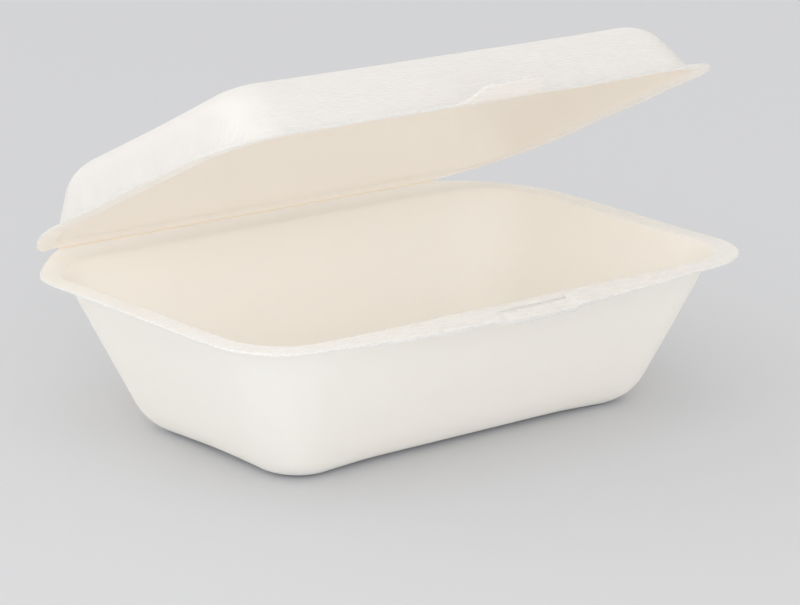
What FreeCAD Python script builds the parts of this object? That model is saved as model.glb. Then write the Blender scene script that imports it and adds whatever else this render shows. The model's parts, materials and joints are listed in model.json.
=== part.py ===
"""Hinged food box, moulded in one piece from sugar-cane pulp.

A deep tray and a shallow lid share one skin of pulp.  They meet at a pressed
fold along the back of their rims, and a tongue on the front of the lid's rim
tucks into a slit in the front of the tray's rim.

Units are millimetres.  X runs along the fold, -Y is the front, where the
tongue is, and +Z is up.  The origin is the centre of the tray's underside.
The lid is drawn shut over the tray and then opened about the fold.
"""
import FreeCAD, Part
import math
import os

Vector = FreeCAD.Vector

# ---------------------------------------------------------------- dimensions
# the rims, which lie on each other when shut
rim_length = 248.0          # over the rims, left to right
rim_depth = 164.5           # the tray's, from the fold to the middle of its front
lid_setback = 3.2           # the lid's front edge stops short of the tray's
rim_front_radius = 1150.0   # the front edge is a shallow arc
rim_front_corner = 28.0     # radius of the front corners
rim_back_corner = 50.0      # radius of the back corners
rim_back_cut = 4.0          # how far the fold cuts into those corner arcs

# the skin
pulp = 0.8                  # thickness of the walls, floor and rims

# the fold
crease_width = 1.4          # the skin thins over this much beside the fold
crease_skin = 0.35          # what is left of it at the fold
fold_clearance = 0.3        # between tray and lid, all the way round the fold
lid_opening = 27.0          # how far the lid stands open at rest, degrees

# the tray: each margin is from the rim's edge to the outside of the wall,
# and each draft is how far that wall leans in over the full height
tray_height = 60.0
tray_side_margin = 8.7
tray_back_margin = 16.2
tray_front_margin = 11.6
tray_side_draft = 26.6
tray_back_draft = 23.8
tray_front_draft = 19.9
tray_mouth_corner = 24.2    # upright corner radius, level with the rim
tray_floor_corner = 17.0    # the same, level with the floor
tray_floor_radius = 20.5    # rounding between walls and floor, outside

# the lid, in the same way
lid_height = 23.9
lid_side_margin = 9.7
lid_back_margin = 15.8
lid_front_margin = 8.4
lid_side_draft = 11.0
lid_back_draft = 11.0
lid_front_draft = 11.6
lid_mouth_corner = 22.0
lid_top_corner = 13.5
lid_top_radius = 17.0

mouth_radius = 3.0          # rounding from the rim into either hollow, inside

# the tongue on the lid and the slit that it tucks into
tongue_length = 12.4        # out from the rim's edge
tongue_root_width = 37.6
tongue_tip_width = 28.5
tongue_root_radius = 7.2
tongue_tip_radius = 5.0
tongue_rise = 18.0          # it is bent up by this angle from the rim
tongue_lap = 1.0            # its bend starts this far inside the rim's edge
slit_length = 38.0
slit_width = 1.0
slit_inset = 6.2            # from the rim's front edge to the slit's middle

# ---------------------------------------------------------------- worked out
half_length = rim_length / 2
half_gap = fold_clearance / 2
lid_rim_depth = rim_depth - lid_setback
same_point = 1e-6           # closer ends than this are one point
same_level = 1e-4           # and closer heights than this are level
tray_floor_back = -(tray_back_margin + tray_back_draft)
tray_floor_front = -(rim_depth - tray_front_margin - tray_front_draft)
fold_y = -(tray_floor_back + tray_floor_front) / 2
fold_z = tray_height + half_gap


# ---------------------------------------------------------------- outlines
def arc(centre, radius, start, end, z):
    """Edge of a circle round centre, from one angle to another in degrees."""
    points = []
    for angle in (start, (start + end) / 2, end):
        turn = math.radians(angle)
        x = centre[0] + radius * math.cos(turn)
        y = centre[1] + radius * math.sin(turn)
        points.append(Vector(x, y, z))
    return Part.Arc(*points).toShape()


def joined(edges):
    """Closed wire through arcs given in order, with straight runs between."""
    chain = []
    for edge, following in zip(edges, edges[1:] + edges[:1]):
        chain.append(edge)
        gap_start = edge.lastVertex(True).Point
        gap_end = following.firstVertex(True).Point
        if gap_start.distanceToPoint(gap_end) > same_point:
            chain.append(Part.LineSegment(gap_start, gap_end).toShape())
    return Part.Wire(chain)


def rounded_rectangle(half_width, y_back, y_front, radius, z):
    """Rectangle with rounded corners, symmetric about the YZ plane."""
    right = half_width - radius
    back = y_back - radius
    front = y_front + radius
    return joined([
        arc((right, back), radius, 90, 0, z),
        arc((right, front), radius, 0, -90, z),
        arc((-right, front), radius, -90, -180, z),
        arc((-right, back), radius, 180, 90, z),
    ])


def rim_outline(depth):
    """Edge of a rim, level with its inner face; the fold side is straight."""
    back_centre = (half_length - rim_back_corner, rim_back_cut - rim_back_corner)
    rise = -half_gap - back_centre[1]
    neck = math.degrees(math.asin(rise / rim_back_corner))

    bow_centre = rim_front_radius - depth
    reach = rim_front_radius - rim_front_corner
    corner_x = half_length - rim_front_corner
    drop = math.sqrt(reach ** 2 - corner_x ** 2)
    front_centre = (corner_x, bow_centre - drop)
    bow = math.degrees(math.atan2(corner_x, drop))

    left_back = (-back_centre[0], back_centre[1])
    left_front = (-corner_x, front_centre[1])
    return joined([
        arc(back_centre, rim_back_corner, neck, 0, 0),
        arc(front_centre, rim_front_corner, 0, bow - 90, 0),
        arc((0, bow_centre), rim_front_radius, bow - 90, -bow - 90, 0),
        arc(left_front, rim_front_corner, -bow - 90, -180, 0),
        arc(left_back, rim_back_corner, 180, 180 - neck, 0),
    ])


# ---------------------------------------------------------------- solids
def edges_at(shape, z):
    """The edges that lie in one level plane."""
    level = []
    for edge in shape.Edges:
        box = edge.BoundBox
        if abs(box.ZMin - z) < same_level and abs(box.ZMax - z) < same_level:
            level.append(edge)
    return level


def hollow_form(half, inset):
    """Solid of one half's hollow, moved in from the wall's outside by inset.

    With no inset it is the outside of the walls and floor, and with one skin
    of inset it is the room inside them.
    """
    lean = {}
    for side in ("side", "back", "front"):
        lean[side] = half[side + "_draft"] / half["height"]
    push = {side: inset * math.hypot(1, lean[side]) for side in lean}

    def section(z):
        """Rounded rectangle of the walls at one level, z downwards negative."""
        depth = -z / half["height"]
        radius = half["mouth_corner"]
        radius += depth * (half["floor_corner"] - half["mouth_corner"])
        in_side = half["side_margin"] + half["side_draft"] * depth + push["side"]
        in_back = half["back_margin"] + half["back_draft"] * depth + push["back"]
        in_front = half["front_margin"] + half["front_draft"] * depth
        in_front += push["front"]
        return rounded_rectangle(half_length - in_side, -in_back,
                                 in_front - half["rim_depth"],
                                 radius - push["side"], z)

    floor = inset - half["height"]
    top = inset
    form = Part.makeLoft([section(top), section(floor)], True, True)
    return form.makeFillet(half["floor_radius"] - inset, edges_at(form, floor))


def crease():
    """Wedge that thins a rim along the fold, taken from its outer face."""
    profile = Part.makePolygon([
        Vector(-rim_length, 0, -crease_skin),
        Vector(-rim_length, -half_gap, -crease_skin),
        Vector(-rim_length, -half_gap - crease_width, -pulp),
        Vector(-rim_length, -half_gap - crease_width, -2 * pulp),
        Vector(-rim_length, 0, -2 * pulp),
        Vector(-rim_length, 0, -crease_skin),
    ])
    return Part.Face(profile).extrude(Vector(2 * rim_length, 0, 0))


def moulded_half(half):
    """Rim, walls and floor of the tray or the lid, hanging below z = 0.

    The rim's inner face is at z = 0 and the fold is along y = 0.
    """
    depth = half["rim_depth"]
    rim = Part.Face(rim_outline(depth)).extrude(Vector(0, 0, -pulp))
    room = Part.makeBox(2 * rim_length, 2 * depth, half["height"],
                        Vector(-rim_length, -2 * depth, -half["height"]))
    walls = hollow_form(half, 0).common(room)
    shell = rim.fuse(walls).removeSplitter()
    under_rim = []
    for edge in edges_at(shell, -pulp):
        box = edge.BoundBox
        reach = max(box.XMax, -box.XMin) + mouth_radius
        on_rim = box.YMax + mouth_radius > 0 or box.YMin - mouth_radius < -depth
        if reach < half_length and not on_rim:
            under_rim.append(edge)
    shell = shell.makeFillet(mouth_radius - pulp, under_rim)
    shell = shell.cut(hollow_form(half, pulp))
    mouth = []
    for face in shell.Faces:
        if face.BoundBox.ZMin > -same_level:
            mouth = face.Wires[1].Edges
    shell = shell.makeFillet(mouth_radius, mouth)
    return shell.cut(crease())


def tongue():
    """The lid's tongue, level with its rim and bent about its root line."""
    root_y = tongue_lap
    tip_y = -tongue_length
    half_root = tongue_root_width / 2
    half_tip = tongue_tip_width / 2
    slope = math.atan2(half_root - half_tip, root_y - tip_y)
    tilt = math.degrees(slope)
    root_run = tongue_root_radius * math.tan(math.pi / 4 - slope / 2)
    tip_run = tongue_tip_radius * math.tan(math.pi / 4 - slope / 2)
    root_centre = (half_root + root_run, root_y - tongue_root_radius)
    tip_centre = (half_tip - tip_run, tip_y + tongue_tip_radius)
    outline = joined([
        arc(root_centre, tongue_root_radius, 90, 180 - tilt, 0),
        arc(tip_centre, tongue_tip_radius, -tilt, -90, 0),
        arc((-tip_centre[0], tip_centre[1]), tongue_tip_radius, -90, tilt - 180, 0),
        arc((-root_centre[0], root_centre[1]), tongue_root_radius, tilt, 90, 0),
    ])
    blade = Part.Face(outline).extrude(Vector(0, 0, -pulp))
    blade.rotate(Vector(0, root_y, 0), Vector(1, 0, 0), tongue_rise)
    blade.translate(Vector(0, -lid_rim_depth, 0))
    return blade


def slit():
    """Round-ended cutter for the slit, right through the tray's rim."""
    radius = slit_width / 2
    reach = slit_length / 2 - radius
    centre_y = slit_inset - rim_depth
    outline = joined([
        arc((reach, centre_y), radius, 90, -90, pulp),
        arc((-reach, centre_y), radius, 270, 90, pulp),
    ])
    return Part.Face(outline).extrude(Vector(0, 0, -3 * pulp))


# ---------------------------------------------------------------- the pieces
tray_sizes = {
    "rim_depth": rim_depth,
    "height": tray_height,
    "side_margin": tray_side_margin,
    "back_margin": tray_back_margin,
    "front_margin": tray_front_margin,
    "side_draft": tray_side_draft,
    "back_draft": tray_back_draft,
    "front_draft": tray_front_draft,
    "mouth_corner": tray_mouth_corner,
    "floor_corner": tray_floor_corner,
    "floor_radius": tray_floor_radius,
}
lid_sizes = {
    "rim_depth": lid_rim_depth,
    "height": lid_height,
    "side_margin": lid_side_margin,
    "back_margin": lid_back_margin,
    "front_margin": lid_front_margin,
    "side_draft": lid_side_draft,
    "back_draft": lid_back_draft,
    "front_draft": lid_front_draft,
    "mouth_corner": lid_mouth_corner,
    "floor_corner": lid_top_corner,
    "floor_radius": lid_top_radius,
}


def make_base():
    """The tray with its rim and slit, standing on z = 0."""
    base = moulded_half(tray_sizes).cut(slit())
    base.translate(Vector(0, fold_y, tray_height))
    return base


def make_lid():
    """The lid with its rim and tongue, opened about the fold."""
    lid = moulded_half(lid_sizes).fuse(tongue())
    lid.rotate(Vector(0, 0, 0), Vector(0, 1, 0), 180)
    lid.translate(Vector(0, fold_y, fold_z + half_gap))
    lid.rotate(Vector(0, fold_y, fold_z), Vector(1, 0, 0), -lid_opening)
    return lid


os.makedirs("parts", exist_ok=True)
for name, shape in (("base", make_base()), ("lid", make_lid())):
    box = shape.BoundBox
    print(name, "solids", len(shape.Solids), "valid", shape.isValid(),
          "volume", round(shape.Volume), "mm3")
    print("  x", round(box.XMin, 2), round(box.XMax, 2),
          "y", round(box.YMin, 2), round(box.YMax, 2),
          "z", round(box.ZMin, 2), round(box.ZMax, 2))
    shape.exportStep(os.path.join("parts", name + ".step"))
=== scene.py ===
# %% [markdown]
# # A hinged food box pressed from sugar-cane pulp
#
# The real box is one sheet of wet fibre, sucked onto a wire screen and pressed
# between hot moulds.  The face against the smooth mould is the inside, and the
# face against the screen is the outside.  A knife then trims the rim, cuts a
# slit in the tray's rim and leaves a tongue on the lid's rim.
#
# In this lesson the box is built as what it is: a thin skin.  One face of the
# skin is drawn as a net of rings, from the rim's edge over the mouth, down the
# wall and across the floor, and then the skin is given its thickness.
#
# The packed model comes first.  It fixes where everything is, in metres.

# %% Load the packed frame
import json
import math
import bpy
import numpy as np
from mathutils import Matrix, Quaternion, Vector, noise


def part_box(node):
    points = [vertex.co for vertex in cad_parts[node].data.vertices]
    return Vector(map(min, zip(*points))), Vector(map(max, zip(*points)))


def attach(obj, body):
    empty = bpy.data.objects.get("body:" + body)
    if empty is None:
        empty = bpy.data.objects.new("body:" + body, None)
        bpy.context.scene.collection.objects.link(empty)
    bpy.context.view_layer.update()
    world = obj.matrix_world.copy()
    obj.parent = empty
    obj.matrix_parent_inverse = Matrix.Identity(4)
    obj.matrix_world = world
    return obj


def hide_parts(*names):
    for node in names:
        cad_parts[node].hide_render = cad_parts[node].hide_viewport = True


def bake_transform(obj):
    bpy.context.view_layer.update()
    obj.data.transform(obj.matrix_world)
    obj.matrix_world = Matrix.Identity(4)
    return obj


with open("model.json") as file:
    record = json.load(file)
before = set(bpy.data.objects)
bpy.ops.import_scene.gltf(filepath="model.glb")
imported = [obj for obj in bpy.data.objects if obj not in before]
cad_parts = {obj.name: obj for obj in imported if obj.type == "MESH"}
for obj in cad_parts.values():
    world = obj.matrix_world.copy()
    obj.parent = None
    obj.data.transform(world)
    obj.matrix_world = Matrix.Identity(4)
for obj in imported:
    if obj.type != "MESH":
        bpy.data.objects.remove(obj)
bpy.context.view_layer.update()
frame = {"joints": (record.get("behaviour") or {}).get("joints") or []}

tray_low, tray_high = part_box("base")
hinge = frame["joints"][0]
fold = Vector(hinge["pos_m"])
opening = -math.radians(hinge["range_deg"][0])
print("fold at", tuple(round(v, 5) for v in fold), "open", round(math.degrees(opening), 1))

# %% [markdown]
# ## Sizes
#
# The rims' length and depth and the tray's height are read from the frame.
# What the frame can't tell, such as how far each wall leans, is named here in
# metres.  A margin is the distance from the rim's edge to the outside of a
# wall, and a draft is how far that wall leans in from rim to floor.

# %% Sizes of the rims and the skin
mm = 0.001
rim_half = tray_high.x
rim_depth = fold.y - tray_low.y
lid_setback = 3.2 * mm
rim_front_radius = 1150 * mm
rim_front_corner = 28 * mm
rim_back_corner = 50 * mm
rim_back_cut = 3.6 * mm
notch_radius = 0.7 * mm
skin = 0.8 * mm
crease_skin = 0.35 * mm
crease_width = 1.4 * mm
fold_gap = 0.15 * mm
mouth_radius = 3 * mm
print("rim", round(2 * rim_half, 4), "by", round(rim_depth, 4))

# %% Sizes of the two halves
tray = {
    "rim_depth": rim_depth, "height": tray_high.z, "mouth_corner": 24.2 * mm,
    "floor_corner": 17.0 * mm, "floor_radius": 20.5 * mm,
    "margin": {"side": 8.7 * mm, "back": 16.2 * mm, "front": 11.6 * mm},
    "draft": {"side": 26.6 * mm, "back": 23.8 * mm, "front": 19.9 * mm},
}
lid = {
    "rim_depth": rim_depth - lid_setback, "height": 23.9 * mm, "mouth_corner": 22.0 * mm,
    "floor_corner": 13.5 * mm, "floor_radius": 17.0 * mm,
    "margin": {"side": 9.7 * mm, "back": 15.8 * mm, "front": 8.4 * mm},
    "draft": {"side": 11.0 * mm, "back": 11.0 * mm, "front": 11.6 * mm},
}
print("tray", round(tray["height"], 4), "high, lid", round(lid["height"], 4), "high")

# %% Sizes of the slit and the tongue
slit_left = 14.2 * mm
slit_right = 19 * mm
slit_width = 1 * mm
slit_inset = 6.2 * mm
tongue_length = 12.4 * mm
tongue_half_root = 18.8 * mm
tongue_half_tip = 14.25 * mm
tongue_root_radius = 7.2 * mm
tongue_tip_radius = 5 * mm
tongue_rise = math.radians(18)
tongue_shift = 3.5 * mm      # the knife that cuts the tongue is never quite central
slope = math.atan2(tongue_half_root - tongue_half_tip, tongue_length)
tongue_foot = tongue_half_root + tongue_root_radius * math.tan(math.pi / 4 - slope / 2)
print("tongue foot to foot", round(2 * tongue_foot, 4))

# %% [markdown]
# ## Outlines with matching stations
#
# A skin made of rings needs the same number of points in every ring, and
# points that face each other, or the net would twist.  So every outline is
# walked in the same way: from the middle of the back round the right-hand side
# to the middle of the front, and the left half is its mirror image.  Near the
# middle of the front the points keep fixed places, because the slit and the
# tongue have to start and end on one of them.

# %% Places along a straight run
spacing = 1.0 * mm
outer_steps = 40
fixed_end = 36 * mm          # beyond this the places stretch with the run
fixed_stops = (0, slit_left, slit_right, tongue_foot - tongue_shift,
               tongue_foot + tongue_shift, fixed_end)


def between(stops, step):
    """Even places from the first stop to the last, with each stop on one of them."""
    places = [stops[0]]
    for start, end in zip(stops, stops[1:]):
        count = max(1, round((end - start) / step))
        places.extend(np.linspace(start, end, count + 1)[1:])
    return np.array(places)


fixed_x = between(fixed_stops, spacing)


def run_along(end):
    """Places from the middle to the end of a straight run: fixed, then stretched."""
    return np.concatenate([fixed_x, np.linspace(fixed_x[-1], end, outer_steps + 1)[1:]])


print("places on half a run:", len(run_along(rim_half)))

# %% Corners and closed rings
corner_steps = 22
notch_steps = 5
side_steps = 40


def arc(centre, radius, start, end, steps, first=1):
    """Points of a corner up to its end, which is left out, as its start is; in degrees."""
    turn = np.radians(np.linspace(start, end, steps + 1)[first:-1])
    return np.stack([centre[0] + radius * np.cos(turn),
                     centre[1] + radius * np.sin(turn)], 1)


def walk(back_run, back_arc, side, front_arc, front_run):
    """Closed ring from its right half, which starts and ends on the middle line."""
    half = np.concatenate([back_run, back_arc, side, front_arc, front_run])
    mirrored = half[-2:0:-1] * (-1, 1)
    return np.concatenate([half, mirrored])


def rounded_rectangle(half_width, y_back, y_front, radius):
    """Ring of a wall at one level."""
    right = half_width - radius
    x = run_along(right)
    side_y = np.linspace(y_back - radius, y_front + radius, side_steps + 1)
    return walk(
        np.stack([x, np.full_like(x, y_back)], 1),
        arc((right, y_back - radius), radius, 90, 0, notch_steps + corner_steps),
        np.stack([np.full_like(side_y, half_width), side_y], 1),
        arc((right, y_front + radius), radius, 0, -90, corner_steps),
        np.stack([x, np.full_like(x, y_front)], 1)[::-1],
    )


print("steps: corner", corner_steps, "notch", notch_steps, "side", side_steps)

# %% [markdown]
# The rim's edge has a straight back, which is the fold.  At each end of the
# fold the two rims part, and the knife leaves a small notch between them with
# a round bottom.  The front edge is a shallow arc, because the box is a little
# deeper in the middle than at its corners.

# %% Outline of a rim
def rim_outline(depth):
    """Ring of the rim's edge: the fold, half a notch, a corner, a side and the front."""
    back = (rim_half - rim_back_corner, rim_back_cut - rim_back_corner)
    meet = math.atan2(-back[1], math.sqrt((rim_back_corner + notch_radius) ** 2
                                          - back[1] ** 2))
    notch = (back[0] + (rim_back_corner + notch_radius) * math.cos(meet), 0)
    shut = math.asin(fold_gap / notch_radius)
    bow_y = rim_front_radius - depth
    corner_x = rim_half - rim_front_corner
    drop = math.sqrt((rim_front_radius - rim_front_corner) ** 2 - corner_x ** 2)
    front = (corner_x, bow_y - drop)
    bow = math.degrees(math.atan2(corner_x, drop))
    x_back = run_along(notch[0] - notch_radius * math.cos(shut))
    x_front = run_along(rim_front_radius * math.sin(math.radians(bow)))
    y_front = bow_y - np.sqrt(rim_front_radius ** 2 - x_front ** 2)
    side_y = np.linspace(back[1], front[1], side_steps + 1)
    back_arc = np.concatenate([
        arc(notch, notch_radius, 180 + math.degrees(shut), 180 + math.degrees(meet),
            notch_steps),
        arc(back, rim_back_corner, math.degrees(meet), 0, corner_steps, first=0),
    ])
    return walk(
        np.stack([x_back, np.full_like(x_back, -fold_gap)], 1),
        back_arc,
        np.stack([np.full_like(side_y, rim_half), side_y], 1),
        arc(front, rim_front_corner, 0, bow - 90, corner_steps),
        np.stack([x_front, y_front], 1)[::-1],
    )


edge_ring = rim_outline(rim_depth)
stations = len(edge_ring)
fold_end = edge_ring[len(run_along(1)) - 1, 0]
print("stations round the box:", stations, "fold's half length:", round(fold_end, 4))

# %% [markdown]
# ## Rounding a section
#
# Seen in section, the skin runs level along the rim, turns down into the wall
# and turns level again into the floor.  Both turns are arcs.  Rounding the
# section at every station at once gives the whole mouth and the whole floor
# edge, also in the corners, where the walls meet.

# %% Turn a corner with an arc
def unit(v):
    """Vectors of length one."""
    return v / np.linalg.norm(v, axis=-1, keepdims=True)


def round_corner(before, corner, after, radius, steps):
    """Rows of points on the arc that joins two straight runs at every station."""
    u = unit(before - corner)
    v = unit(after - corner)
    angle = np.arccos(np.clip((u * v).sum(-1, keepdims=True), -1, 1))
    centre = corner + unit(u + v) * radius / np.sin(angle / 2)
    start = corner + u * radius / np.tan(angle / 2) - centre
    end = corner + v * radius / np.tan(angle / 2) - centre
    sweep = math.pi - angle
    rows = []
    for step in range(steps + 1):
        part = step / steps
        rows.append(centre + (np.sin((1 - part) * sweep) * start
                              + np.sin(part * sweep) * end) / np.sin(sweep))
    return rows


def level(ring, z):
    """A flat ring at one height."""
    return np.column_stack([ring, np.full(len(ring), z)])


print("a level ring of the rim:", level(edge_ring, 0).shape)

# %% [markdown]
# ## The rings of one half
#
# `inside_rings` follows the inside face from the rim's edge to the middle of
# the floor.  Two of the rim's rings lie on the slit's two sides, so that the
# slit is simply a row of faces that is left out.  The floor is pressed slightly
# hollow underneath, which is why such a box stands steadily on its floor's edge.

# %% Rings on the rim
lean_front = math.atan(tray["draft"]["front"] / tray["height"])
front_flat = (tray["margin"]["front"] + skin / math.cos(lean_front)
              - mouth_radius * math.tan(math.pi / 4 - lean_front / 2))
slit_rows = ((slit_inset - slit_width / 2) / front_flat,
             (slit_inset + slit_width / 2) / front_flat)
# where the rings lie on the rim, from its edge (0) to the start of the mouth (1)
rim_parts = [0, 0.08, 0.13, 0.2, 0.3, 0.42, *slit_rows, 0.78, 0.9]
slit_row = rim_parts.index(slit_rows[0])
print("level part of the front rim:", round(front_flat, 5))

# %% Rings of a half
mouth_steps = 6
wall_steps = 14
floor_edge_steps = 10
floor_steps = 9
floor_rise = 0.5 * mm


def inside_rings(half):
    """Rings of the inside face, each with how deep in the hollow it is, 0 to 1."""
    height = half["height"]
    lean = {side: half["draft"][side] / height for side in half["draft"]}
    push = {side: skin * math.hypot(1, lean[side]) for side in lean}

    def wall(depth):
        """Ring of the wall's inside at a depth, sharp where it meets the rim."""
        inset = {side: half["margin"][side] + lean[side] * depth + push[side]
                 for side in lean}
        shrink = (half["floor_corner"] - half["mouth_corner"]) * depth / height
        ring = rounded_rectangle(rim_half - inset["side"], -inset["back"],
                                 inset["front"] - half["rim_depth"],
                                 half["mouth_corner"] + shrink - push["side"])
        return level(ring, -depth)

    edge = level(rim_outline(half["rim_depth"]), 0)
    mouth = wall(0)
    foot = wall(height - skin)
    spine_y = (foot[:, 1].max() + foot[:, 1].min()) / 2
    spine_x = foot[:, 0].max() - (foot[:, 1].max() - foot[:, 1].min()) / 2
    spine = foot.copy()
    spine[:, 0] = np.clip(foot[:, 0], -spine_x, spine_x)
    spine[:, 1] = spine_y

    mouth_arc = round_corner(edge, mouth, foot, mouth_radius, mouth_steps)
    floor_arc = round_corner(mouth, foot, spine, half["floor_radius"] - skin,
                             floor_edge_steps)
    rings = [(edge + (mouth_arc[0] - edge) * part, 0.0) for part in rim_parts]
    for step, ring in enumerate(mouth_arc):
        rings.append((ring, step / mouth_steps * 0.5))
    for step in range(1, wall_steps):
        part = step / wall_steps
        ring = mouth_arc[-1] + (floor_arc[0] - mouth_arc[-1]) * part
        rings.append((ring, 0.5 + part / 2))
    rings.extend((ring, 1.0) for ring in floor_arc)
    for step in range(1, floor_steps + 1):
        part = step / floor_steps
        ring = floor_arc[-1] + (spine - floor_arc[-1]) * part
        ring[:, 2] += floor_rise * part * part * (3 - 2 * part)
        rings.append((ring, 1.0))
    return rings


print("rings in a half:", len(inside_rings(tray)))

# %% [markdown]
# ## Small unevenness
#
# Wet pulp dries unevenly, so no wall of a real box is quite flat and no rim is
# quite level.  A slow wave of a few tenths of a millimetre takes the computer
# look off it.  On the rims it only ever bends away from the other half, so that
# the two halves still meet when the box is shut.
#
# Blender's vector noise starts from the clock unless it gets a seed.  With the
# seed, every run gives the same box.

# %% Slow waves
wave_size = 45 * mm
rim_wave = 0.7 * mm
wall_wave = 0.25 * mm
wave_start = 1 * mm          # from here to wave_full the wave grows, away from the fold
wave_full = 25 * mm
still_depth = (0.45, 0.75)   # the walls' wave dies out between these shares of the depth
wave_seed = 4
noise.seed_set(wave_seed)
print("rim wave", rim_wave / mm, "mm, wall wave", wall_wave / mm, "mm, seed", wave_seed)


def smooth(value, start, end):
    """0 before start, 1 after end, and a soft ramp between."""
    t = np.clip((value - start) / (end - start), 0, 1)
    return t * t * (3 - 2 * t)


def wave(points, offset):
    """A slow seeded wave, from -1 to 1, in each direction at each point."""
    found = []
    for x, y, z in points:
        found.append(noise.noise_vector(Vector((x, y, z)) / wave_size + offset))
    return np.array(found)


def settle(points, offset, height):
    """Bends rims and walls by the slow wave, but not the fold or the floor."""
    push = wave(points, offset) * smooth(-points[:, 1], wave_start, wave_full)[:, None]
    depth = -points[:, 2]
    on_rim = 1 - smooth(depth, 0, 2 * mouth_radius)
    on_wall = (1 - on_rim) * (1 - smooth(depth, height * still_depth[0],
                                         height * still_depth[1]))
    points = points.copy()
    points[:, :2] += push[:, :2] * (on_wall * wall_wave)[:, None]
    points[:, 2] -= np.abs(push[:, 2]) * on_rim * rim_wave
    return points


# %% [markdown]
# The front rims sag as well, most in the middle of their long free edge, and
# the rims droop at one end of the fold.  The lid is drawn upside down, so its
# sag and droop are negative.  The knife that cuts the slit presses down the flap
# outside it.

# %% Sag and droop
tray_sag = 2.2 * mm
tray_droop = 2.6 * mm
lid_sag = -0.9 * mm
lid_droop = -2.1 * mm
slack_width = 11 * mm        # how much of the front rim bends
slack_curve = 1.5            # 1 bends it straight, more bends it mostly at the edge
slack_taper = 1.15           # how fast the bend fades towards the rim's ends
droop_x = 108 * mm           # the middle of the drooping corner
droop_y = -16 * mm
droop_reach = 34 * mm
droop_start = 14 * mm        # the droop is full this far past the fold's end
flap_drop = 0.85 * mm
flap_left_fade = 3 * mm
flap_right_fade = 2.5 * mm


def bend_rim(points, sag, droop, side, width):
    """Bends the rim of a half: sag at the front's middle, droop at one back corner."""
    depth = -points[:, 1].min()
    from_edge = points[:, 1] + depth
    along = points[:, 0] / rim_half
    front = np.clip(1 - from_edge / width, 0, 1) ** slack_curve
    front = front * np.clip(1 - slack_taper * along ** 2, 0, 1)
    from_corner = np.hypot(points[:, 0] * side - droop_x, points[:, 1] - droop_y)
    corner = smooth(from_corner, droop_reach, 0)
    outside = smooth(points[:, 0] * side, fold_end, fold_end + droop_start)
    on_rim = points[:, 2] > -mouth_radius
    points = points.copy()
    points[:, 2] -= np.where(on_rim, sag * front + droop * corner * outside, 0)
    return points


def press_flap(points):
    """Presses down the flap between the slit and the tray's front edge."""
    from_edge = points[:, 1] + rim_depth
    flap = smooth(points[:, 0], -slit_left - flap_left_fade, -slit_left + mm)
    flap = flap * (1 - smooth(points[:, 0], slit_right - 0.5 * mm,
                              slit_right + flap_right_fade))
    flap = flap * (1 - smooth(from_edge, slit_inset - slit_width, slit_inset))
    points = points.copy()
    points[:, 2] -= np.where(points[:, 2] > -mouth_radius, flap * flap_drop, 0)
    return points


print("droop round", round(droop_x, 4), round(droop_y, 4), "flap down", flap_drop)

# %% [markdown]
# ## From rings to a skin
#
# The rings become one net of four-sided faces.  The Solidify modifier then
# gives the net its thickness on the outer side, and it can give the outer face
# and the cut edge materials of their own.  A vertex group thins the skin at
# the fold and leaves a burr along the trimmed edge.  The burr is thickest by the
# middle of the front, where the knife tears its way out.
#
# Each point also remembers where it was in the mould, before it was bent or
# opened.  The finishes are drawn on those places, so they turn with the lid.

# %% Net of faces
front_zone = 20 * mm         # only faces this near the front can lie in the slit


def net(rings, hole=None):
    """Points and faces of closed rings, seen from inside the hollow."""
    points = np.concatenate([ring for ring, depth in rings])
    faces = []
    for row in range(len(rings) - 1):
        for j in range(stations):
            k = (j + 1) % stations
            if hole and hole(row, points[row * stations + j], points[row * stations + k]):
                continue
            faces.append((row * stations + j, (row + 1) * stations + j,
                          (row + 1) * stations + k, row * stations + k))
    return points, faces


def in_slit(row, first, second):
    """Whether a face of the net lies in the slit."""
    near_front = first[1] < front_zone - rim_depth
    middle = (first[0] + second[0]) / 2
    return row == slit_row and near_front and -slit_left < middle < slit_right


print("the slit is left out of row", slit_row, "from", round(-slit_left, 4), "to", slit_right)

# %% Thickness and cut edge
burr = 0.35 * mm             # how much thicker the cut edge is than the skin
front_burr = 2.0 * mm        # the same near the front's middle, where the knife comes out
front_burr_x = -15 * mm      # the middle of that stretch
front_burr_full = 40 * mm    # it is full to this far on either side
front_burr_end = 70 * mm     # and gone by here
burr_fade = 4 * mm           # over this much beside the fold the burr grows
ragged = 0.5 * mm            # how deep the knife's bites go
trim_start = 2 * mm          # no bites this close to the fold
grain = 2.2 * mm             # size of the fine lumps in the burr
lump = 9 * mm                # size of the coarse ones


def thickness(points, share):
    """Skin thickness at each point: thin at the fold, with a burr on the cut edge."""
    found = crease_skin + (skin - crease_skin) * smooth(-points[:, 1], fold_gap, crease_width)
    for j in range(stations):
        x, y, z = points[j]
        # the burr's height is fine lumps times coarse ones
        rough = 0.7 + 0.4 * noise.noise(Vector((x, y, z)) / grain)
        rough *= 0.9 + 0.8 * noise.noise(Vector((x, y, z)) / lump)
        front = smooth(y, 0.6 * points[:, 1].min(), points[:, 1].min())
        front *= 1 - smooth(abs(x - front_burr_x), front_burr_full, front_burr_end)
        cut = min(1, max(0, -y / burr_fade - 0.1))
        found[j] += (burr + (front_burr - burr) * front) * max(0, rough) * share * cut
    return found


def trim(points, share):
    """Makes the cut edge slightly ragged, inwards only."""
    points = points.copy()
    middle = points[:, 1].min() / 2
    for j in range(stations):
        x, y, z = points[j]
        if y < -trim_start:
            bite = 0.5 + 0.5 * noise.noise(Vector((x, y, z + 7)) / grain)
            inward = Vector((-x, middle - y, 0)).normalized()
            points[j] += np.array(inward) * ragged * bite * share
    return points


print("burr", burr, "to", front_burr, "m, bites up to", ragged, "m")

# %% Modifiers that make a solid skin
weld_reach = 0.002 * mm
edge_round = 0.2 * mm
edge_angle = math.radians(50)


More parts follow.
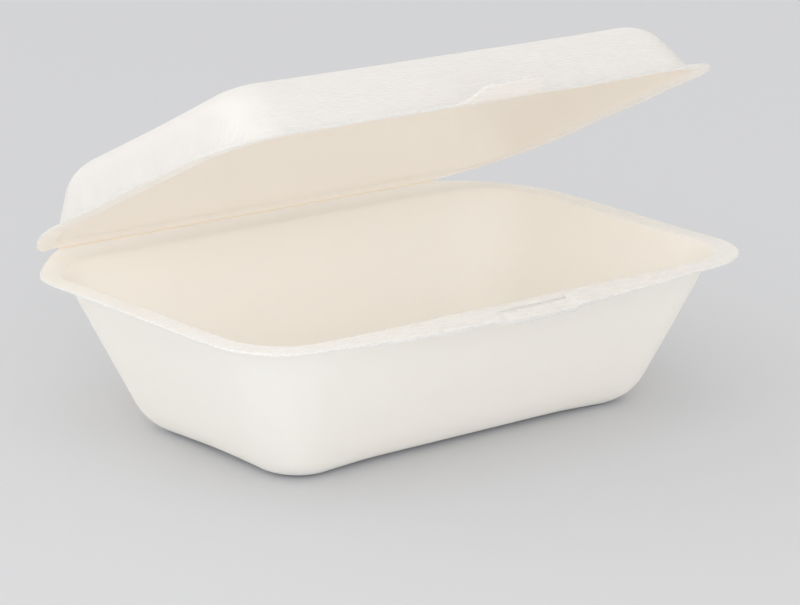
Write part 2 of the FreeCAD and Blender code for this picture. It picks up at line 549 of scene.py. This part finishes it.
def give_thickness(piece, thickest):
    """Closes the net, gives it its thickness and rounds its edges."""
    weld = piece.modifiers.new("weld", "WELD")
    weld.merge_threshold = weld_reach
    solid = piece.modifiers.new("thickness", "SOLIDIFY")
    solid.thickness = thickest
    solid.offset = -1
    solid.use_even_offset = True
    solid.vertex_group = "thickness"
    solid.material_offset = 1
    solid.material_offset_rim = 2
    edge = piece.modifiers.new("edge", "BEVEL")
    edge.width = edge_round
    edge.segments = 2
    edge.limit_method = "ANGLE"
    edge.angle_limit = edge_angle


print("edges sharper than", round(math.degrees(edge_angle)), "degrees are rounded")

# %% Skin from a net
def skin_object(name, points, faces, marks, depth, finishes):
    """A solid skin from its inside face; marks are its named values at each point."""
    mesh = bpy.data.meshes.new(name)
    mesh.from_pydata([tuple(p) for p in points], [], faces)
    hollow = mesh.attributes.new("hollow", "FLOAT", "POINT")
    hollow.data.foreach_set("value", np.asarray(marks["hollow"], np.float32))
    place = mesh.attributes.new("place", "FLOAT_VECTOR", "POINT")
    place.data.foreach_set("vector", np.asarray(marks["place"], np.float32).ravel())
    for finish in finishes:
        mesh.materials.append(finish)
    piece = bpy.data.objects.new(name, mesh)
    bpy.context.scene.collection.objects.link(piece)
    group = piece.vertex_groups.new(name="thickness")
    thickest = max(depth)
    for index, value in enumerate(depth):
        group.add([index], float(value / thickest), "REPLACE")
    for polygon in mesh.polygons:
        polygon.use_smooth = True
    give_thickness(piece, thickest)
    return piece


print("a skin carries: hollow, place and thickness")

# %% [markdown]
# ## The tongue
#
# The tongue is more of the same skin, so its first row is the rim's own edge.
# Each row further out is a little narrower: the outline curves in from the
# edge like the foot of a vase, runs straight, and rounds off at the tip.

# %% Outline of the tongue
def tongue_half_width(d):
    """Half the tongue's width at a distance from the rim's edge."""
    foot_end = tongue_root_radius * (1 - math.sin(slope))
    tip_start = tongue_length - tongue_tip_radius * (1 - math.sin(slope))
    if d < foot_end:
        reach = tongue_root_radius - d
        return tongue_foot - math.sqrt(tongue_root_radius ** 2 - reach ** 2)
    if d < tip_start:
        return tongue_half_root - d * math.tan(slope)
    centre_x = tongue_half_tip - tongue_tip_radius * math.tan(math.pi / 4 - slope / 2)
    reach = d - (tongue_length - tongue_tip_radius)
    return centre_x + math.sqrt(max(0, tongue_tip_radius ** 2 - reach ** 2))


for name, distance in (("root", 0), ("middle", tongue_length / 2), ("tip", tongue_length)):
    print("tongue's half width at the", name, round(tongue_half_width(distance), 5))

# %% Tongue on the lid's net
tongue_rows = 26
tongue_bend = 5 * mm         # it bends up over this much, and is straight beyond
close_x = 0.01 * mm


def add_tongue(points, faces, marks, depth):
    """Adds the tongue to the lid's net, out from the rim's front edge."""
    edge = [j for j in range(stations) if points[j][1] < points[:, 1].min() / 2]
    root = [j for j in edge
            if abs(points[j][0] - tongue_shift) < tongue_foot + close_x]
    root.sort(key=lambda j: points[j][0])
    points = list(points)
    place = list(marks["place"])
    hollow = list(marks["hollow"])
    depth = list(depth)
    last = root
    for row in range(1, tongue_rows + 1):
        part = row / tongue_rows
        # the rows lie closer together towards the round tip
        d = tongue_length * (1 - (1 - part) ** 1.6 * (1 - part * 0.4))
        rise = d * d / 2 / tongue_bend if d < tongue_bend else d - tongue_bend / 2
        grown = []
        for j in root:
            share = (place[j][0] - tongue_shift) / tongue_foot
            x = tongue_shift + share * tongue_half_width(d)
            y = place[j][1] * (1 - part) - lid["rim_depth"] * part
            grown.append(len(points))
            points.append((x, y - d * math.cos(tongue_rise),
                           points[j][2] - rise * math.tan(tongue_rise)))
            place.append((x, y - d, 0))
            hollow.append(0.0)
            depth.append(skin)
        for a, b, c, e in zip(last, last[1:], grown[1:], grown):
            faces.append((a, e, c, b))
        last = grown
    for j in root[1:-1]:
        depth[j] = skin
    return np.array(points), faces, {"place": place, "hollow": hollow}, depth


print("tongue:", tongue_rows, "rows over", round(tongue_length, 4), "m")

# %% [markdown]
# ## Opening the lid
#
# The lid is pressed beside the tray with its hollow facing the same way, so it
# is drawn like the tray, then turned over onto it and opened about the fold.

# %% Place the lid
def open_lid(points):
    """Turns the lid's net over the tray and opens it about the fold."""
    placed = points * (-1, 1, -1) + (0, 0, fold_gap)
    c = math.cos(opening)
    s = math.sin(opening)
    y = placed[:, 1] * c + placed[:, 2] * s
    z = -placed[:, 1] * s + placed[:, 2] * c
    return np.stack([placed[:, 0], y + fold.y, z + fold.z], 1)


print("a point on the fold lands at", open_lid(np.array([[0.0, 0.0, 0.0]])).round(5)[0])

# %% [markdown]
# ## Finishes
#
# A finish is a shader made of nodes.  Written out node by node it hides what it
# means, so a small class wraps a socket and lets Python's own operators add the
# Math nodes.  Every other node comes from one method, `add`.

# %% Shader expressions
class Wire:
    """A shader socket that can be used in an expression."""

    def __init__(self, finish, socket):
        self.finish = finish
        self.socket = socket

    def work(self, operation, *values):
        """The result of a Math node, or of a Vector Math node for a vector."""
        vector = self.socket.type == "VECTOR"
        kind = "ShaderNodeVectorMath" if vector else "ShaderNodeMath"
        return self.finish.add(kind, {"operation": operation}, dict(enumerate(values)))

    def __add__(self, other):
        return self.work("ADD", self, other)

    def __sub__(self, other):
        return self.work("SUBTRACT", self, other)

    def __rsub__(self, other):
        return self.work("SUBTRACT", other, self)

    def __mul__(self, other):
        return self.work("MULTIPLY", self, other)

    def __abs__(self):
        return self.work("ABSOLUTE", self)

    def sine(self):
        return self.work("SINE", self)

    __radd__ = __add__
    __rmul__ = __mul__


class Finish:
    """A material, or the world's light, that is being drawn."""

    def __init__(self, name, kind=bpy.data.materials):
        self.material = kind.new(name)
        self.material.use_nodes = True
        self.nodes = self.material.node_tree.nodes
        self.nodes.clear()

    def add(self, kind, settings, inputs, output=0):
        """A node with its settings, and then the values or wires of its sockets."""
        node = self.nodes.new(kind)
        for name, value in settings.items():
            setattr(node, name, value)
        for name, value in inputs.items():
            socket = node.inputs[name]
            if isinstance(value, Wire):
                self.material.node_tree.links.new(value.socket, socket)
            elif socket.type == "VECTOR" and isinstance(value, (int, float)):
                socket.default_value = (value, value, value)
            else:
                socket.default_value = value
        return Wire(self, node.outputs[output]) if node.outputs else None


methods = [name for name, value in vars(Wire).items() if callable(value)]
print("methods of a wire:", methods[1:])

# %% [markdown]
# The same few patterns serve every finish: clouds of noise, a soft step between
# two values, and a mix of two colours.  Sizes are given in metres, as the size
# of one lump, because that is how a maker would describe a grain.

# %% Patterns
mix_factor, mix_a, mix_b, mix_result = 0, 6, 7, 2


def attribute(finish, name, output):
    """A value that the net carries at each point."""
    settings = {"attribute_type": "GEOMETRY", "attribute_name": name}
    return finish.add("ShaderNodeAttribute", settings, {}, output)


def coordinate(finish, place, axis):
    """One coordinate of a place: X, Y or Z."""
    return finish.add("ShaderNodeSeparateXYZ", {}, {0: place}, axis)


def clouds(finish, place, size, detail=2.0, offset=0.0):
    """Soft noise from 0 to 1, with lumps of a given size."""
    inputs = {"Vector": place + offset, "Scale": 1 / size, "Detail": detail}
    return finish.add("ShaderNodeTexNoise", {}, inputs)


def soft_step(finish, value, start, end):
    """0 before start, 1 after end, and a soft ramp between."""
    inputs = {"Value": value, "From Min": start, "From Max": end}
    return finish.add("ShaderNodeMapRange", {"interpolation_type": "SMOOTHSTEP"}, inputs)


def blend_colour(finish, share, first, second):
    """A mix of two colours; a share of 0 gives the first."""
    inputs = {mix_factor: share, mix_a: first, mix_b: second}
    return finish.add("ShaderNodeMix", {"data_type": "RGBA"}, inputs, mix_result)


print("sockets of the mix node: factor", mix_factor, "colours", mix_a, mix_b)

# %% [markdown]
# ### The pulp's body
#
# Pressed pulp is matt, and it lets some light through: held up to a lamp it
# glows a warm cream.  So each finish is a matt surface with a share of
# Translucent, which passes light to the other side.  That is also what keeps
# the closed-in hollow bright and warm.  Little light comes through the tray's
# floor, which stands in its own shadow.
#
# The height pattern becomes a bump.  Its size is the real height of the grain,
# a few hundredths of a millimetre.

# %% Matt, slightly see-through body
warm_glow = (0.995, 0.947, 0.88, 1)
plain_glow = (0.963, 0.970, 0.983, 1)
white_glow = (0.955, 0.98, 1.0, 1)
fold_zone = (-20 * mm, -4 * mm)      # the fold's look grows from the first to the second
floor_zone = (54 * mm, 59 * mm)      # the floor's look grows between these depths
floor_shade = 0.85                   # how much of the light the floor holds back


def near_fold(finish, place):
    """1 at the fold, where the skin is thinnest, and 0 on the walls."""
    return soft_step(finish, coordinate(finish, place, "Y"), *fold_zone)


def on_floor(finish, place):
    """1 on the tray's floor, which is shut off from the light below."""
    return soft_step(finish, 0 - coordinate(finish, place, "Z"), *floor_zone)


def pulp(finish, place, colour, rough, height, depth, glow, glow_share, fold_share):
    """Joins the finish: colour, roughness, and a height pattern that is depth high."""
    share = glow_share + (fold_share - glow_share) * near_fold(finish, place)
    share = share * (1 - floor_shade * on_floor(finish, place))
    normal = finish.add("ShaderNodeBump", {}, {"Strength": 1.0, "Distance": depth,
                                               "Height": height})
    matt = finish.add("ShaderNodeBsdfPrincipled", {}, {
        "Base Color": colour, "Roughness": rough, "Normal": normal,
        "Specular IOR Level": 0.25})
    through = finish.add("ShaderNodeBsdfTranslucent", {}, {"Color": glow})
    body = finish.add("ShaderNodeMixShader", {}, {0: share, 1: matt, 2: through})
    finish.add("ShaderNodeOutputMaterial", {}, {"Surface": body})
    return finish.material


print("light passed on by the floor:", round(1 - floor_shade, 2), "of a wall's")

# %% [markdown]
# ### Inside, pressed smooth
#
# The inside lies against a hot polished mould.  It is smooth, and creamy in the
# hollow: partly its own tone and partly painted warm light, of the kind that
# bounces round the hollow.  It is whiter and more fibrous on the rim, which the
# mould presses less.
# Towards the fold it is painted warmer: a painted glow of warm light that comes
# through the thin skin there and bounces in the crease.

# %% Inside finish
streak_stretch = (0.15, 1, 1)        # streaks run along the box
# behind the first place the rim turns to the hollow's cream: painted warm light bounced from
# the lid and hollow
painted_warmth_zone = (-130 * mm, -20 * mm)  # the rim is whitest in front of the first place
# colour painted near the fold: a painted glow of light through the thin skin
painted_fold_glow = (0.99, 0.885, 0.74, 1)


def inside_finish():
    finish = Finish("pulp_inside")
    place = attribute(finish, "place", "Vector")
    hollow = attribute(finish, "hollow", "Fac")
    mottle = clouds(finish, place, 14 * mm)
    fibre = clouds(finish, place, 0.9 * mm, detail=4.0, offset=0.3)
    streak = clouds(finish, place * streak_stretch, 1.0 * mm, detail=3.0)
    on_rim = 1 - soft_step(finish, hollow, 0.0, 0.5)
    # 1 at the front; towards the fold the rim is painted warmer, as painted bounced light
    clear_of_painted_warmth = 1 - soft_step(finish, coordinate(finish, place, "Y"), *painted_warmth_zone)
    # the hollow's cream: partly the pulp's own tone, partly painted warm bounced light
    cream_and_painted_warmth = blend_colour(finish, mottle, (0.99, 0.925, 0.83, 1), (0.985, 0.915, 0.815, 1))
    strands = soft_step(finish, streak * 0.6 + fibre * 0.4, 0.38, 0.62)
    rim = blend_colour(finish, strands, (0.82, 0.80, 0.77, 1), (0.98, 0.965, 0.94, 1))
    colour = blend_colour(finish, on_rim * (0.3 + 0.7 * clear_of_painted_warmth), cream_and_painted_warmth, rim)
    # painted warm glow towards the fold
    colour = blend_colour(finish, near_fold(finish, place), colour, painted_fold_glow)
    rough = 0.55 + 0.15 * on_rim + 0.1 * mottle
    height = fibre * (0.3 + 1.5 * on_rim) + 2 * mottle + 4 * streak * on_rim
    return pulp(finish, place, colour, rough, height, 0.05 * mm, warm_glow, 0.56, 0.72)


inside = inside_finish()
print(inside.name, "nodes:", len(inside.node_tree.nodes))

# %% [markdown]
# ### Outside of the tray
#
# The tray's outside is duller and whiter than its inside.  It is even, with a
# faint mottle where the fibre lies thicker, and a few pits where an air bubble
# sat on the screen.  The pits are also drawn darker, as painted shade in them.

# %% Tray outside finish
def tray_outside_finish():
    finish = Finish("pulp_outside_tray")
    place = attribute(finish, "place", "Vector")
    mottle = clouds(finish, place, 9 * mm, detail=3.0)
    fibre = clouds(finish, place, 0.9 * mm, detail=4.0, offset=0.7)
    cells = finish.add("ShaderNodeTexVoronoi", {"feature": "F1"},
                       {"Vector": place, "Scale": 1 / (11 * mm)}, "Distance")
    pit_with_painted_shade = 1 - soft_step(finish, cells, 0.02, 0.05)
    colour = blend_colour(finish, mottle, (0.835, 0.858, 0.88, 1), (0.855, 0.878, 0.90, 1))
    # the pits' darker colour is painted shade in the recess
    colour = blend_colour(finish, pit_with_painted_shade * 0.25, colour, (0.72, 0.70, 0.66, 1))
    rough = 0.62 + 0.12 * fibre
    height = fibre + 2.5 * mottle - 2 * pit_with_painted_shade
    return pulp(finish, place, colour, rough, height, 0.05 * mm, white_glow, 0.62, 0.95)


tray_outside = tray_outside_finish()
print(tray_outside.name, "nodes:", len(tray_outside.node_tree.nodes))

# %% [markdown]
# ### Outside of the lid
#
# On the lid the screen's wires show.  On the front and back walls they make
# low level ripples, about a millimetre apart, and on the side walls they stand
# upright.  The corners, where the screen is stretched, are smooth.  A sine of
# the place gives the wires, and slow noise makes them wander.

# %% Lid outside finish
wire_pitch = 1.1 * mm
upright_zone = (rim_half - 24 * mm, rim_half - 17 * mm)  # level wires turn upright here
corner_fade = 0.85           # how much of the wires is gone where two walls meet


def lid_outside_finish():
    finish = Finish("pulp_outside_lid")
    place = attribute(finish, "place", "Vector")
    drift = clouds(finish, place, 7 * mm, detail=3.0)
    fade = soft_step(finish, clouds(finish, place, 12 * mm, offset=0.5), 0.05, 0.5)
    fibre = clouds(finish, place, 0.9 * mm, detail=4.0, offset=0.7)
    turn = 2 * math.pi / wire_pitch
    wander = clouds(finish, place, 7 * mm, detail=2.0, offset=0.2) * 6
    level_wires = (coordinate(finish, place, "Z") * turn + wander).sine()
    upright_wires = (coordinate(finish, place, "Y") * turn + wander).sine()
    on_side = soft_step(finish, abs(coordinate(finish, place, "X")), *upright_zone)
    wires = level_wires + on_side * (upright_wires - level_wires)
    wires = wires * (1 - 4 * corner_fade * on_side * (1 - on_side))
    colour = blend_colour(finish, drift, (0.818, 0.820, 0.825, 1), (0.841, 0.843, 0.849, 1))
    rough = 0.6 + 0.12 * fibre
    height = fibre * 0.8 + wires * fade * 1.8
    return pulp(finish, place, colour, rough, height, 0.05 * mm, plain_glow, 0.46, 0.6)


lid_outside = lid_outside_finish()
print(lid_outside.name, "nodes:", len(lid_outside.node_tree.nodes))

# %% [markdown]
# ### Cut edge
#
# The knife tears as much as it cuts, so the edge is a row of fibre ends.  On the
# tray's rim, where the burr is thick, it is the roughest part of the box, and it
# is duller than the rim.  On the lid the edge is a thin clean line, painted dark
# as a painted shadow along the lid's edge.  The slit's two faces are sheared past
# each other, and they are painted even and dark, as painted shade in the slit's
# narrow gap.

# %% Cut edge finish
# a cut face this far behind the front edge, and this near the middle, is the slit's
painted_slit_shade_y = (-rim_depth + 3 * mm, -rim_depth + 5 * mm)
painted_slit_shade_x = (20 * mm, 24 * mm)
# painted shade of the slit's gap, laid on its cut faces
painted_slit_shade = (0.72, 0.69, 0.64, 1)


def cut_edge_finish(name, low, high, depth):
    finish = Finish(name)
    place = attribute(finish, "place", "Vector")
    spot = finish.add("ShaderNodeTexCoord", {}, {}, "Object")
    fibre = clouds(finish, spot * (0.4, 1, 1), 0.6 * mm, detail=4.0)
    colour = blend_colour(finish, soft_step(finish, fibre, 0.35, 0.65), low, high)
    slit_shade_depth = soft_step(finish, coordinate(finish, place, "Y"), *painted_slit_shade_y)
    off_slit = soft_step(finish, abs(coordinate(finish, place, "X")), *painted_slit_shade_x)
    # the slit's cut faces get the painted shade
    colour = blend_colour(finish, slit_shade_depth * (1 - off_slit), colour, painted_slit_shade)
    rough = 0.75 + 0.1 * fibre
    return pulp(finish, place, colour, rough, fibre, depth, plain_glow, 0.4, 0.4)


# the lid's edge is drawn dark: a painted shadow line along the lid's edge
lid_edge_painted_shade = cut_edge_finish("pulp_lid_edge_painted_shade", (0.66, 0.645, 0.61, 1), (0.76, 0.745, 0.71, 1),
                           0.05 * mm)
torn_edge = cut_edge_finish("pulp_torn_edge", (0.69, 0.67, 0.63, 1), (0.83, 0.81, 0.775, 1),
                            0.14 * mm)
print(lid_edge_painted_shade.name, torn_edge.name, "nodes:", len(torn_edge.node_tree.nodes))

# %% [markdown]
# ## Building the two halves
#
# Both halves go through the same steps: rings, net, unevenness, cut edge and
# thickness.  Each skin takes the place of the plain solid of the packed model
# and rides on its body.

# %% The tray
rings = inside_rings(tray)
moulded, faces = net(rings, in_slit)
marks = {"place": moulded, "hollow": np.repeat([depth for ring, depth in rings], stations)}
shaped = settle(moulded, Vector((3, 1, 4)), tray["height"])
shaped = press_flap(bend_rim(shaped, tray_sag, tray_droop, -1, slack_width))
shaped = trim(shaped, share=1)
depth = thickness(moulded, share=1)
tray_skin = skin_object("tray_skin", shaped + (0, fold.y, tray["height"]), faces, marks,
                        depth, (inside, tray_outside, torn_edge))
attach(tray_skin, "base")
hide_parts("base")
print("tray:", len(moulded), "points,", len(faces), "faces")

# %% The lid
rings = inside_rings(lid)
moulded, faces = net(rings)
marks = {"place": moulded, "hollow": np.repeat([depth for ring, depth in rings], stations)}
shaped = settle(moulded, Vector((8, 2, 6)), lid["height"])
shaped = bend_rim(shaped, lid_sag, lid_droop, 1, slack_width - lid_setback)
shaped = trim(shaped, share=0.3)
depth = thickness(moulded, share=0.2)
shaped, faces, marks, depth = add_tongue(shaped, faces, marks, depth)
lid_skin = skin_object("lid_skin", open_lid(shaped), faces, marks, depth,
                       (inside, lid_outside, lid_edge_painted_shade))
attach(lid_skin, "lid")
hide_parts("lid")
print("lid:", len(shaped), "points,", len(faces), "faces")

# %% [markdown]
# ## The fold
#
# In the packed model a thin gap runs round the fold, because the lid is a body
# of its own.  On the real box the skin carries on through it.  This piece is
# that web: a thin strip, set into both creases, shaped for the lid's opening.

# %% Fold web
web_half = 0.05 * mm
web_reach = 1.0 * mm
web_spacing = 4 * mm
web_level = crease_skin / 2 + fold_gap


def about_fold(y, z, angle):
    """A point beside the fold, turned about it."""
    return np.array([y * math.cos(angle) + z * math.sin(angle),
                     -y * math.sin(angle) + z * math.cos(angle)])


def web_section():
    """Closed section of the web, first over the hollow side and then back."""
    tray_run = [(-web_reach, -web_level), (-fold_gap, -web_level),
                (-fold_gap / 2, -web_level / 2)]
    lid_run = [about_fold(y, -z, opening) for y, z in reversed(tray_run)]
    line = np.array([*tray_run, (0, 0), *lid_run])
    along = np.gradient(line, axis=0)
    across = unit(np.stack([-along[:, 1], along[:, 0]], 1)) * web_half
    return np.concatenate([line + across, (line - across)[::-1]])


section = web_section()
web_x = between((-fold_end, fold_end), web_spacing)
points = [(x, y + fold.y, z + fold.z) for x in web_x for y, z in section]
faces = []
count = len(section)
for i in range(len(web_x) - 1):
    for j in range(count):
        k = (j + 1) % count
        faces.append((i * count + j, i * count + k, (i + 1) * count + k, (i + 1) * count + j))
faces.append(tuple(range(count))[::-1])
faces.append(tuple(range((len(web_x) - 1) * count, len(web_x) * count)))
print("web:", len(points), "points,", len(faces), "faces")

# %% The web's object
mesh = bpy.data.meshes.new("fold_web")
mesh.from_pydata([tuple(p) for p in points], [], faces)
place = mesh.attributes.new("place", "FLOAT_VECTOR", "POINT")
place.data.foreach_set("vector", np.asarray(points - np.array(fold), np.float32).ravel())
mesh.materials.append(inside)
fold_web = bpy.data.objects.new("fold_web", mesh)
bpy.context.scene.collection.objects.link(fold_web)
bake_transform(fold_web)

# %% [markdown]
# ## Floor, light and camera
#
# Pale things look best in pale surroundings: the floor throws light up under
# the leaning walls, the world lights everything softly, a little less from the
# right, and two lamps from the front and the left give the corners their shape.
# The lamps are kept low enough that no part of the box burns out to white.
#
# The floor has two greys.  A ray that looks at it, straight on, in a reflection
# or through glass, sees the darker one, so the pale box stands out.  Light that
# scatters off it, also up through the skin, meets the paler one.

# %% Floor
floor_mesh = bpy.data.meshes.new("floor")
floor_reach = 6.0
floor_mesh.from_pydata([(-floor_reach, -floor_reach, 0), (floor_reach, -floor_reach, 0),
                        (floor_reach, floor_reach, 0), (-floor_reach, floor_reach, 0)],
                       [], [(0, 1, 2, 3)])
floor = bpy.data.objects.new("floor", floor_mesh)
bpy.context.scene.collection.objects.link(floor)
paper = Finish("floor_paper")
light_grey = (0.86, 0.86, 0.86, 1)
seen_grey = (0.60, 0.60, 0.605, 1)


def ray(kind):
    """1 for one kind of ray, and 0 for the others."""
    return paper.add("ShaderNodeLightPath", {}, {}, kind)


clear_ray = ray("Is Transmission Ray") * (1 - ray("Is Diffuse Ray"))
seen = ray("Is Camera Ray") + ray("Is Glossy Ray") + clear_ray
colour = blend_colour(paper, seen, light_grey, seen_grey)
matt = paper.add("ShaderNodeBsdfPrincipled", {}, {"Base Color": colour, "Roughness": 0.9})
paper.add("ShaderNodeOutputMaterial", {}, {"Surface": matt})
floor.data.materials.append(paper.material)
print("floor:", 2 * floor_reach, "m wide")

# %% Lamps
studio = Finish("studio", bpy.data.worlds)
bpy.context.scene.world = studio.material
left_light = (0.985, 0.99, 1, 1)
right_light = (0.61, 0.61, 0.615, 1)
sky_strength = 1.2
to_right = coordinate(studio, studio.add("ShaderNodeTexCoord", {}, {}, "Generated"), "X")
walls = blend_colour(studio, soft_step(studio, to_right, -0.3, 1.0), left_light, right_light)
sky = studio.add("ShaderNodeBackground", {}, {"Color": walls, "Strength": sky_strength})
studio.add("ShaderNodeOutputWorld", {}, {"Surface": sky})


def softbox(name, place, aim, size, power):
    """A square lamp that looks at a point."""
    lamp = bpy.data.lights.new(name, "AREA")
    lamp.size = size
    lamp.energy = power
    holder = bpy.data.objects.new(name, lamp)
    bpy.context.scene.collection.objects.link(holder)
    holder.location = place
    holder.rotation_euler = (Vector(aim) - Vector(place)).to_track_quat("-Z", "Y").to_euler()
    print(name, "at", place, "power", power, "W")


box_middle = (0, 0, 0.07)
lamp_size = 0.5
softbox("front_lamp", (-0.62, -0.72, 0.42), box_middle, lamp_size, power=1.7)
softbox("left_lamp", (-1.0, -0.1, 0.3), box_middle, lamp_size, power=0.5)

# %% Camera
camera_data = bpy.data.cameras.new("camera")
camera = bpy.data.objects.new("camera", camera_data)
bpy.context.scene.collection.objects.link(camera)
bpy.context.scene.camera = camera
camera_data.sensor_width = 36
camera_data.lens = 153.5
camera_data.clip_end = 50
heading = math.radians(41.12)
tilt = math.radians(-15.83)
roll = math.radians(1.51)
ahead = Vector((math.sin(heading) * math.cos(tilt), math.cos(heading) * math.cos(tilt),
                math.sin(tilt)))
camera.location = (-0.81129, -0.93132, 0.39373)
camera.rotation_mode = "QUATERNION"
camera.rotation_quaternion = ahead.to_track_quat("-Z", "Y") @ Quaternion((0, 0, 1), roll)
bpy.context.scene.view_settings.view_transform = "Standard"
print("camera", round(camera.location.length, 3), "m from the box's foot")
